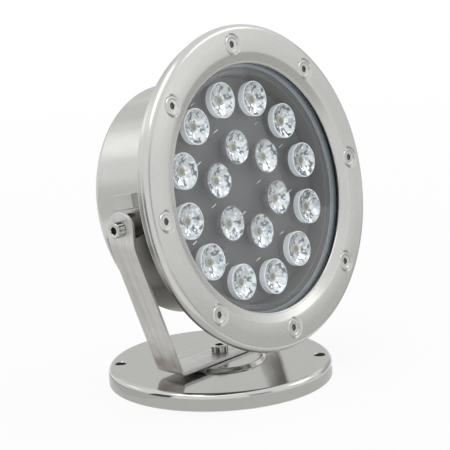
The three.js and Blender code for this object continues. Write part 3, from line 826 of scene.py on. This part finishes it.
fit("fine_swivel_washer", washer(BOLT_HOLE, 6.2, 8.4, 9.6), turned_steel, WORLD, "base", "swivel_washer")
fit("fine_swivel_nut", hexagon_nut(BOLT_HOLE, 5.7, 3.3, 8.1), turned_steel, WORLD, "base", "swivel_nut")
print("the swivel has a bolt, a washer and a nut")

# %% [markdown]
# ## The bracket
# The bracket is a flat strip, cut to length with round ends, drilled in three places and then bent
# on a press. It is made here in that order too. The flat blank is easy to drill and to bevel, and
# then every point is moved from its place along the blank to its place along the bent line. The
# blank needs cuts across it where it bends, or it would have nothing to bend at.

# %% Saw the flat blank
STRIP_WIDTH = 18
STRIP_THICKNESS = 2
FOOT_HEIGHT = 12.2
FOOT_REACH = 42
ARM_REACH = 74.4
KINK_HEIGHT = 92
PIVOT_HEIGHT = 101.6
FOOT_BEND = 5
KINK_BEND = 22
PIVOT_HOLE = 2.8

lean = math.atan2(ARM_REACH - FOOT_REACH, KINK_HEIGHT - FOOT_HEIGHT)
foot_turn = math.pi / 2 - lean
foot_corner = FOOT_BEND * math.tan(foot_turn / 2)
kink_corner = KINK_BEND * math.tan(lean / 2)
slope_length = math.hypot(ARM_REACH - FOOT_REACH, KINK_HEIGHT - FOOT_HEIGHT) - foot_corner - kink_corner
bend_line = [
    (FOOT_REACH - foot_corner, 0),
    (FOOT_BEND * foot_turn, foot_turn),
    (slope_length, 0),
    (KINK_BEND * lean, lean),
    (PIVOT_HEIGHT - KINK_HEIGHT - kink_corner, 0),
]
pivot_spot = sum(length for length, turn in bend_line)

half_width = STRIP_WIDTH / 2
round_end = [math.radians(angle) for angle in range(-90, 91, 5)]
right_end = [(pivot_spot + half_width * math.cos(a), half_width * math.sin(a)) for a in round_end]
left_end = [(-x, -y) for x, y in right_end]
blank = sawn(right_end + left_end, 0, STRIP_THICKNESS)
pivot_drill = drill(PIVOT_HOLE, -1, STRIP_THICKNESS + 1)
drills = together(
    shifted(pivot_drill, pivot_spot, 0),
    shifted(pivot_drill, -pivot_spot, 0),
    drill(BOLT_HOLE, -1, STRIP_THICKNESS + 1),
)
blank = softened(carved(blank, drills), 0.3)
print("the flat blank is", round(2 * (pivot_spot + half_width), 1), "mm long")


# %% Bend the strip
def bend_spot(distance):
    """The point, and the direction as an angle, at a distance along half of the bent line."""
    x, z, angle = 0.0, FOOT_HEIGHT, 0.0
    for length, turn in [*bend_line, (1000, 0)]:
        step = min(distance, length)
        if turn:
            radius = length / turn
            swept = step / radius
            x += radius * (math.sin(angle + swept) - math.sin(angle))
            z += radius * (math.cos(angle) - math.cos(angle + swept))
            angle += swept
        else:
            x += step * math.cos(angle)
            z += step * math.sin(angle)
        distance -= step
        if distance <= 0:
            break
    return x, z, angle


CUTS_PER_BEND = 14


def bent(mesh):
    """The blank after bending. Each bend gets cuts across it first, and then every point is moved."""
    shape = bmesh.new()
    shape.from_mesh(mesh)
    reach = 0
    for length, turn in bend_line:
        if turn:
            for cut in range(CUTS_PER_BEND + 1):
                spot = (reach + length * cut / CUTS_PER_BEND) * MM
                for side in (-1, 1):
                    plane = {"plane_co": (side * spot, 0, 0), "plane_no": (1, 0, 0)}
                    everything = [*shape.verts, *shape.edges, *shape.faces]
                    bmesh.ops.bisect_plane(shape, geom=everything, **plane)
        reach += length
    for point in shape.verts:
        along, inset = point.co.x / MM, point.co.z / MM
        x, z, angle = bend_spot(abs(along))
        x -= inset * math.sin(angle)
        z += inset * math.cos(angle)
        point.co = Vector((math.copysign(x, along), point.co.y / MM, z)) * MM
    return mesh_of(shape, 1)


fit("fine_bracket", bent(blank), brushed, WORLD, "bracket", "bracket")
print("the arms stand", 2 * ARM_REACH, "mm apart outside")

# %% [markdown]
# ## The drum and its flange
# Behind the glass is a drum, drawn from sheet like a saucepan, and a thick ring that is welded round
# its mouth. Two short bosses for the pivot screws are welded to its sides, their round sides painted
# dark as painted shade, and over each boss a small pad. The weld runs right round where the ring meets
# the drum. It is modelled as a thin round bead, because the eye expects one there and it covers the seam.

# %% Draw the drum
DRUM_RADIUS = 65.2
DRUM_BACK = -27.5
DRUM_WALL = 1.5
DRUM_MOUTH = 31.2
DRUM_CORNER = 5.5
BOSS_RADIUS = 7
BOSS_START = 55
BOSS_END = 70.8
PIVOT_HOLE_END = 66.2
GLAND_HOLE = 8.3


def across_lamp(radius, start, end, sides=96, soft=0.0):
    """A bar along the pivot, in the lamp's frame."""
    bar = moved(disc(radius, start, end, 0, soft, sides), Matrix.Rotation(math.pi / 2, 4, "Y"))
    return shifted(bar, 0, -AXIS_RISE)


def mirrored_pair(mesh):
    """A mesh and its mirror image on the lamp's other side."""
    other = moved(mesh, Matrix.Scale(-1, 4, (1, 0, 0)))
    other.flip_normals()
    return together(mesh, other)


shell = turned(rounded([
    (0, DRUM_BACK),
    (DRUM_RADIUS, DRUM_BACK, DRUM_CORNER),
    (DRUM_RADIUS, DRUM_MOUTH),
    (0, DRUM_MOUTH),
], math.radians(7)))
hollow = turned(rounded([
    (0, DRUM_BACK + DRUM_WALL),
    (DRUM_RADIUS - DRUM_WALL, DRUM_BACK + DRUM_WALL, DRUM_CORNER - DRUM_WALL),
    (DRUM_RADIUS - DRUM_WALL, DRUM_MOUTH + 1),
    (0, DRUM_MOUTH + 1),
]))
shell = carved(shell, mirrored_pair(across_lamp(BOSS_RADIUS, BOSS_START, BOSS_END, soft=0.5)), "UNION")
shell = carved(shell, hollow)
shell = carved(shell, mirrored_pair(across_lamp(PIVOT_HOLE, PIVOT_HOLE_END, BOSS_END + 1, 48)))
shell = carved(shell, drill(GLAND_HOLE, DRUM_BACK - 1, DRUM_BACK + DRUM_WALL))
drum = fit("fine_drum", shell, drum_steel, LAMP, "head", "drum")
paint(drum, coating, lambda centre, normal: centre.z > DRUM_BACK + 1
      and centre.xy.length < DRUM_RADIUS - 0.5 and centre.xy.dot(normal.xy) < 0.01)
# The round sides of the bosses are painted dark, as painted shade.
paint(drum, boss_shade, lambda centre, normal: centre.xy.length > DRUM_RADIUS + 0.3 and abs(normal.x) < 0.7)
pad = softened(block((63.7, 67.7), (4.2, 12.6), (-8, 6)), 0.4)
fit("side_pads", mirrored_pair(pad), satin, LAMP, "head")
print("the drum is", 2 * DRUM_RADIUS, "mm across and", DRUM_MOUTH - DRUM_BACK, "mm deep")

# %% Turn the flange and weld it
RIM_RADIUS = 90
FLANGE_RADIUS = 87.8
FLANGE_BACK = 29.8
FLANGE_FRONT = 33.7
RECESS_RADIUS = 73.2
WELD_GAP = 0.3
BEAD_RADIUS = 0.7
TAPPED_HOLE = 2.9
SCREW_CIRCLE = 79.5
screw_spots = circle_of(8, SCREW_CIRCLE, 92.3)

flange = turned(rounded([
    (DRUM_RADIUS + WELD_GAP, FLANGE_BACK),
    (FLANGE_RADIUS, FLANGE_BACK, 0.9),
    (FLANGE_RADIUS, FLANGE_FRONT, 0.9),
    (RECESS_RADIUS, FLANGE_FRONT),
    (RECESS_RADIUS, DRUM_MOUTH),
    (DRUM_RADIUS + WELD_GAP, DRUM_MOUTH),
]))
tapped_hole = drill(TAPPED_HOLE, FLANGE_BACK - 1, FLANGE_FRONT, 0.2)
flange = carved(flange, at_each(tapped_hole, screw_spots))
flange = fit("fine_flange", flange, flange_steel, LAMP, "head", "flange")
paint(flange, coating, lambda centre, normal: centre.z < DRUM_MOUTH + 0.2 and normal.z > 0.5)

bead = turned([(DRUM_RADIUS + x, FLANGE_BACK + z) for x, z in polygon(12, BEAD_RADIUS)])
fit("weld_bead", bead, drum_steel, LAMP, "head")
print("the flange is", 2 * FLANGE_RADIUS, "mm across")

# %% [markdown]
# ## The bezel
# The bezel is the ring that the eye goes to: it clamps the glass with eight screws. Its outer corner
# is well rounded, and its face slopes down in a bevel to a thin bright lip beside the glass. All of
# that is one outline, and then the seats of the screws are countersunk into it.

# %% Turn the bezel
FACE = 40.3
CREST_RADIUS = 79
BEZEL_BACK = 34.1
LIP_RADIUS = 68.5
LIP_EDGE = 38.3
LIP_BACK = 37
GRIP = 0.3
SHANK = 2.6
SCREW_TOP = 40.1
SCREW_TIP = 30.1

bezel = turned(rounded([
    (LIP_RADIUS, LIP_BACK, 0.2),
    (RECESS_RADIUS, LIP_BACK),
    (RECESS_RADIUS, BEZEL_BACK, 0.2),
    (RIM_RADIUS, BEZEL_BACK, 2.2),
    (RIM_RADIUS, FACE - 0.5, 3.3),
    (CREST_RADIUS, FACE, 60),
    (74.3, 40.1, 4.6),
    (69.7, LIP_EDGE),
    (LIP_RADIUS, LIP_EDGE, 0.9),
], math.radians(6)), 256)
countersink = turned([
    (0, BEZEL_BACK - 1),
    (SHANK + GRIP, BEZEL_BACK - 1),
    (SHANK + GRIP, 37.2),
    (5.8, 39.6),
    (7.4, 41.2),
    (0, 41.2),
], 64)
fit("fine_bezel", carved(bezel, at_each(countersink, screw_spots)), polished, LAMP, "head", "bezel")
print("the bezel is", 2 * RIM_RADIUS, "mm across")

# %% Countersunk screws
SCREW_DISH = 0.45
SOCKET_DEPTH = 1.6

screw = turned(rounded([
    (0, SCREW_TIP),
    (SHANK - 0.4, SCREW_TIP),
    (SHANK, SCREW_TIP + 0.4),
    (SHANK, 37.5),
    (5.5, 39.2),
    (4.8, SCREW_TOP, 0.3),
    (4, SCREW_TOP, 0.2),
    (3.4, SCREW_TOP - SCREW_DISH, 0.3),
    (0, SCREW_TOP - SCREW_DISH),
]), 64)
punch = sawn(polygon(6, 1.9, math.pi / 6), SCREW_TOP - SOCKET_DEPTH, SCREW_TOP + 1)
mouth = turned([
    (0, SCREW_TOP - 0.9), (1.6, SCREW_TOP - 0.9), (2.6, SCREW_TOP + 0.1), (0, SCREW_TOP + 0.1),
], 48)
screw = carved(carved(screw, punch), mouth)
for number, (x, y) in enumerate(screw_spots, 1):
    spot = LAMP @ Matrix.Translation((x * MM, y * MM, 0)) @ Matrix.Rotation(number * 1.9, 4, "Z")
    fit(f"fine_bezel_screw_{number}", screw, turned_steel, spot, "head", f"bezel_screw_{number}")
# The sockets of the bezel screws are painted in the board's dark grey, as painted shade.
paint(bpy.data.objects["fine_bezel_screw_1"], coating, inside_socket(1.8, SCREW_TOP - 0.8))
print(len(screw_spots), "screws hold the bezel")

# %% [markdown]
# ## Rubber, silicone and glass
# A black rubber ring lies on the glass and a pale silicone ring lies under it. Only their edges
# show, inside the bezel's lip. The cover glass is thick and flat. A flat sheet bends light without
# changing what is seen through it, so it is drawn as a see-through surface with a mirror on top, and
# Fresnel says how strong the mirror is at each angle. A refracting glass would darken the LEDs
# behind it with noise and show nothing more.

# %% Gaskets
rubber = matt("black_rubber", (0.012, 0.012, 0.013), (0.02, 0.021, 0.022), 0.5, 0.05, 900)
silicone = matt("grey_silicone", (0.34, 0.38, 0.44), (0.44, 0.48, 0.54), 0.4, 0.03, 700)


GASKET_RADIUS = 72.6
front_gasket = washer(68.8, GASKET_RADIUS, 35.9, 36.7, 0.3, 192)
rear_gasket = washer(67.4, GASKET_RADIUS, 31.5, 32.3, 0.3, 192)
fit("fine_front_gasket", front_gasket, rubber, LAMP, "head", "front_gasket")
fit("fine_rear_gasket", rear_gasket, silicone, LAMP, "head", "rear_gasket")
print("two gaskets seal the glass")

# %% Cover glass
GLASS_RADIUS = 72.9
GLASS_BACK = 32.6
GLASS_FRONT = 35.6

window = Finish("window_glass")
clear = window.node("ShaderNodeBsdfTransparent", {}, {"Color": (0.97, 0.985, 0.98, 1)})
wave = window.dents(window.cloud(window.on_piece(), 14, 1), 0.02)
mirror = window.node("ShaderNodeBsdfGlossy", {}, {"Color": (1, 1, 1, 1), "Roughness": 0.02, "Normal": wave})
facing = window.node("ShaderNodeLayerWeight", {}, {"Blend": 0.5}, "Facing")
shine = facing.maths("POWER", facing, 3.5) + 0.08
window.show(window.mixed(shine, clear, mirror))

window_back = Finish("window_glass_inside")
mist = window_back.cloud(window_back.on_piece(), 60, 3)
clear = window_back.node("ShaderNodeBsdfTransparent", {}, {"Color": (0.98, 0.99, 0.985, 1)})
film = window_back.node("ShaderNodeBsdfDiffuse", {}, {"Color": (0.7, 0.75, 0.74, 1)})
window_back.show(window_back.mixed(mist * 0.012, clear, film))

pane = disc(GLASS_RADIUS, GLASS_BACK, GLASS_FRONT, 0.5, 0.5)
glass = fit("fine_glass", pane, window, LAMP, "head", "glass")
glass.data.materials.append(window_back.owner)
for face in glass.data.polygons:
    face.material_index = 0 if face.normal.z > 0.9 else 1
paint(glass, silicone, lambda centre, normal: abs(normal.z) < 0.5)
print("the glass is", GLASS_FRONT - GLASS_BACK, "mm thick")

# %% [markdown]
# ## The LED board
# The plate behind the lenses is a disc of aluminium with a flat grey coating. It carries eighteen
# LEDs and small soldered tabs between them. The coating is nearly flat in colour, so its finish has
# only a fine grain. The tabs are bright and tiny, with soft edges that catch the light. The LEDs are
# a pale base and a yellow dome each, and one piece holds all the bases and another all the domes.

# %% Board
BOARD_RADIUS = 63.1
BOARD_BACK = 19.2
BOARD_FRONT = 21
POST_CIRCLE = 37
led_spots = circle_of(12, 51.5, 98.7) + circle_of(6, 24.5, 98.7)
post_spots = circle_of(3, POST_CIRCLE, 113.7)

board = disc(BOARD_RADIUS, BOARD_BACK, BOARD_FRONT, 0.2, 0.2)
board = carved(board, at_each(drill(1.7, BOARD_BACK - 1, BOARD_FRONT), post_spots))
fit("fine_led_board", board, coating, LAMP, "head", "led_board")
print("the board is", 2 * BOARD_RADIUS, "mm across")

# %% LEDs
LED_BASE = 3.4
LED_DOME = 2.3

chip_finish = matt("led_phosphor", (0.24, 0.23, 0.17), (0.3, 0.28, 0.21), 0.35, 0.02, 1200)
ceramic = matt("led_ceramic", (0.5, 0.49, 0.46), (0.6, 0.59, 0.56), 0.45, 0.02, 1000)
led_base = disc(LED_BASE, BOARD_FRONT, BOARD_FRONT + 1.2, 0, 0.3, 48)
led_dome = disc(LED_DOME, BOARD_FRONT + 1.1, BOARD_FRONT + 2.8, 0, 1.5, 48)
fit("led_bases", at_each(led_base, led_spots), ceramic, LAMP, "head")
fit("led_domes", at_each(led_dome, led_spots), chip_finish, LAMP, "head")
print(len(led_spots), "LEDs are on the board")

# %% Solder tabs
TAB_SPOTS = [
    (-9.5, 34.7), (-27.9, 19.7), (13.1, 26.1), (42.8, 18.1), (17.6, 1.6), (-22.4, -4.5), (0.6, -13),
    (-23.2, 51.9), (25.7, 34), (-42.8, -20.8), (29, -30.1), (5.2, -40.1), (-21.7, -37.5), (42.7, -8.4),
]
TAB_TURN = math.radians(20)

tab = softened(block((-2.2, 2.2), (-0.45, 0.45), (0, 0.5)), 0.2)
tab = moved(tab, Matrix.Translation((0, 0, BOARD_FRONT * MM)) @ Matrix.Rotation(TAB_TURN, 4, "Z"))
fit("solder_tabs", at_each(tab, TAB_SPOTS), turned_steel, LAMP, "head")
print(len(TAB_SPOTS), "solder tabs are on the board")

# %% [markdown]
# ## The lenses
# Each LED sits in the foot of a moulded cup that gathers its light into a beam. The cups of the outer
# ring are frosted in the upper part of their sides and dark below, and those of the inner ring are
# dark all the way. The front is a shallow silvery bowl of many small facets, with a window in the
# middle that shows the LED enlarged. Part of the glitter comes from the facets' own directions: the
# points of the bowl are shaken a little, and its faces are left flat. The rest is painted reflection:
# the silver goes from pale in the middle of each small cell to bluish grey at its edge, with dark
# specks where the cells meet.

# %% Faceted cups
LENS_RADIUS = 9.9
LENS_FOOT = 21.3
LENS_TOP = 29.6
LENS_RIM = 1.1
LENS_SIDES = 30
FROST_EDGE = LENS_TOP - 4.2
BOWL_RADIUS = 9.25
BOWL_FOOT = LENS_TOP - 3.5
WINDOW_RADIUS = 2.9
CHIP_RADIUS = 1.7
FACET_SHAKE = 0.3
SILVERED_SLOT = 1

# The frosted cups glow a little: painted light that lifts their sides out of the shade in the lamp.
frosted = matt("frosted_acrylic", (0.88, 0.91, 0.95), (0.9, 0.94, 1), 0.3, 0.05, 700, 0.16)
smoky = matt("smoky_acrylic", (0.13, 0.135, 0.15), (0.17, 0.175, 0.195), 0.3, 0.05, 700)
silvered = Finish("silvered_cup")
# Painted reflection: pale and bluish cells of silver, with dark specks where they meet.
cells = {"Vector": silvered.on_piece(), "Scale": 420}
shades = silvered.node("ShaderNodeTexVoronoi", {"feature": "F1"}, cells)
painted_specks = shades.ramp(0.65, 0.75)
silver = silvered.blend(shades, (0.97, 0.98, 1, 1), (0.7, 0.74, 0.82, 1))
silvered.show(silvered.node("ShaderNodeBsdfPrincipled", {}, {
    "Base Color": silvered.blend(painted_specks, silver, (0.17, 0.19, 0.22, 1)),
    "Metallic": 0.85,
    "Roughness": shades * 0.15 + 0.05,
    "Coat Weight": 0.5,
    "Coat Roughness": 0.03,
}))


def lens(foot):
    """A cup with a foot of that radius. Its side has a corner at FROST_EDGE, where the frosted part of an
    outer cup's side ends.
    """
    rise = (FROST_EDGE - LENS_FOOT) / (LENS_TOP - LENS_RIM - LENS_FOOT)
    return turned([
        (0, LENS_FOOT + 3.4),
        (4.2, LENS_FOOT + 3.4),
        (4.2, LENS_FOOT),
        (foot, LENS_FOOT),
        (foot + (LENS_RADIUS - foot) * rise, FROST_EDGE),
        (LENS_RADIUS, LENS_TOP - LENS_RIM),
        (LENS_RADIUS, LENS_TOP - 0.2),
        (LENS_RADIUS - 0.2, LENS_TOP),
        (BOWL_RADIUS + 0.1, LENS_TOP),
        (BOWL_RADIUS - 0.1, LENS_TOP - 0.5),
        (7.7, LENS_TOP - 1.4),
        (6.1, LENS_TOP - 2.1),
        (4.5, LENS_TOP - 2.7),
        (WINDOW_RADIUS, LENS_TOP - 3),
        (2.6, LENS_TOP - 2.5),
        (2, LENS_TOP - 2.5),
        (1.8, LENS_TOP - 2.8),
        (0, LENS_TOP - 2.8),
    ], LENS_SIDES)


def shaken(cup):
    """The cup with the points of its bowl moved a little, so that each facet tilts its own way."""
    noise.seed_set(4)
    for point in cup.vertices:
        if WINDOW_RADIUS + 0.1 < point.co.xy.length / MM < BOWL_RADIUS and point.co.z > BOWL_FOOT * MM:
            point.co += noise.random_vector() * FACET_SHAKE * MM
    return cup


outer_cup, inner_cup = shaken(lens(8.9)), shaken(lens(5.8))
for number, (x, y) in enumerate(led_spots):
    ring, cup, count = ("outer", outer_cup, number + 1) if number < 12 else ("inner", inner_cup, number - 11)
    spot = LAMP @ Matrix.Translation((x * MM, y * MM, 0)) @ Matrix.Rotation(number * 1.7, 4, "Z")
    skin = frosted if ring == "outer" else smoky
    fit(f"fine_{ring}_lens_{count}", cup, skin, spot, "head", f"{ring}_lens_{count}")
for obj in (bpy.data.objects["fine_outer_lens_1"], bpy.data.objects["fine_inner_lens_1"]):
    for skin, reach in ((silvered, BOWL_RADIUS), (ceramic, WINDOW_RADIUS), (chip_finish, CHIP_RADIUS)):
        paint(obj, skin, lambda centre, normal: centre.z > BOWL_FOOT and centre.xy.length < reach)
    paint(obj, smoky, lambda centre, normal: centre.z < FROST_EDGE)
    for face in obj.data.polygons:
        face.use_smooth = face.material_index != SILVERED_SLOT
print(len(led_spots), "lenses are", 2 * LENS_RADIUS, "mm across")

# %% [markdown]
# ## The pivots
# A screw goes through the end of each arm into the boss on the drum, with a washer between. They let
# the lamp tilt and hold it by friction.

# %% Pivot screws and washers
PIVOT_HEAD = 4.25
SCREW_START = 66.5
WASHER_START = 71.1
WASHER_END = 72.1

for side, sign in (("left", -1), ("right", 1)):
    outward = HEAD @ Matrix.Rotation(sign * math.pi / 2, 4, "Y")
    ring = washer(PIVOT_HOLE, 6.2, WASHER_START, WASHER_END)
    fit(f"fine_pivot_washer_{side}", ring, turned_steel, outward, "head", f"pivot_washer_{side}")
    pin = cap_screw(shank=2.5, length=8.2, head=PIVOT_HEAD, head_height=5, socket=2.3, socket_depth=2.6)
    pin = shifted(pin, 0, 0, SCREW_START)
    pin = fit(f"fine_pivot_screw_{side}", pin, mirror_steel, outward, "head", f"pivot_screw_{side}")
    # The socket is painted near black, as painted shade.
    paint(pin, recess_shade, inside_socket(2.2, 79.4))
    paint(pin, knurled, head_side(PIVOT_HEAD))
print("the lamp hangs on two screws")

# %% [markdown]
# ## The cable gland
# The lamp's cable comes out of the middle of the drum's back, through a gland: a threaded body with
# a hexagon, a domed nut that squeezes a rubber ring onto the cable, and a locknut inside the drum.
# The photo doesn't show this side, so the gland is the usual one for such a lamp.

# %% Gland
GLAND = LAMP @ Matrix.Translation((0, 0, DRUM_BACK * MM)) @ Matrix.Rotation(math.pi, 4, "X")
GLAND_CORNERS = 11.3

fit("fine_gland_washer", washer(GLAND_HOLE, 10.6, 0.3, 1.8, 0.5), rubber, GLAND, "head", "gland_washer")
sleeve = turned(rounded([
    (5, -8.1, 0.3), (8, -8.1, 0.5), (8, 14.1, 0.5), (5, 14.1, 0.3),
]), 96)
collar = hexagon_nut(6, GLAND_CORNERS, 2.1, 6.1)
fit("fine_gland_body", carved(sleeve, collar, "UNION"), turned_steel, GLAND, "head", "gland_body")
crown = turned(rounded([
    (8.3, 6.4),
    (9.9, 6.4),
    (9.9, 12.9),
    (8.9, 12.9, 0.4),
    (8.6, 20.4, 4.3),
    (4, 20.4, 0.5),
    (4, 14.7),
    (8.3, 14.4),
]), 96)
skirt = hexagon_nut(GLAND_HOLE, GLAND_CORNERS, 6.4, 12.9)
fit("fine_gland_nut", carved(crown, skirt, "UNION"), turned_steel, GLAND, "head", "gland_nut")
fit("fine_gland_insert", washer(3.1, 4.7, 3.1, 14.1, 0.6), rubber, GLAND, "head", "gland_insert")
locknut = hexagon_nut(GLAND_HOLE, GLAND_CORNERS, -5.2, -1.8)
fit("fine_gland_locknut", locknut, turned_steel, GLAND, "head", "gland_locknut")
print("the gland has five pieces")

# %% [markdown]
# ## What is inside
# The driver board and the pieces on it are closed in by the drum. Their shapes from the frame are
# right as they are, so they only get finishes.

# %% Finishes for the pieces inside
def dress(finish, *nodes):
    """Gives pieces of the frame a finish and leaves their shape alone."""
    for node in nodes:
        for slot in frame["nodes"][node].material_slots:
            slot.material = finish.owner


def winding():
    """Enamelled copper wire, wound round an upright core."""
    finish = Finish("copper_winding")
    wires = {"Vector": finish.on_piece(), "Scale": 420}
    turns = finish.node("ShaderNodeTexWave", {"bands_direction": "Y"}, wires)
    finish.show(finish.node("ShaderNodeBsdfPrincipled", {}, {
        "Base Color": finish.blend(turns, (0.16, 0.05, 0.015, 1), (0.42, 0.15, 0.05, 1)),
        "Metallic": 0.6,
        "Roughness": 0.3,
        "Normal": finish.dents(turns, 0.1),
    }))
    return finish


for *recipe, node in (
    ("green_laminate", (0.02, 0.1, 0.045), (0.03, 0.13, 0.06), 0.35, 0.02, 1300, "driver_board"),
    ("capacitor_sleeve", (0.012, 0.025, 0.06), (0.018, 0.035, 0.08), 0.25, 0.01, 800, "driver_capacitor"),
    ("dark_plastic", (0.018, 0.02, 0.022), (0.026, 0.028, 0.03), 0.4, 0.03, 1400, "terminal_block"),
    ("red_insulation", (0.35, 0.015, 0.01), (0.42, 0.025, 0.015), 0.35, 0.01, 900, "lead_positive"),
    ("black_insulation", (0.01, 0.01, 0.01), (0.016, 0.016, 0.016), 0.35, 0.01, 900, "lead_negative"),
):
    dress(matt(*recipe), node)
dress(winding(), "driver_inductor")
dress(brushed, *[f"board_post_{number}" for number in (1, 2, 3)])
dress(coating, *[f"board_screw_{number}" for number in (1, 2, 3)])
print("twelve pieces inside have their finishes")
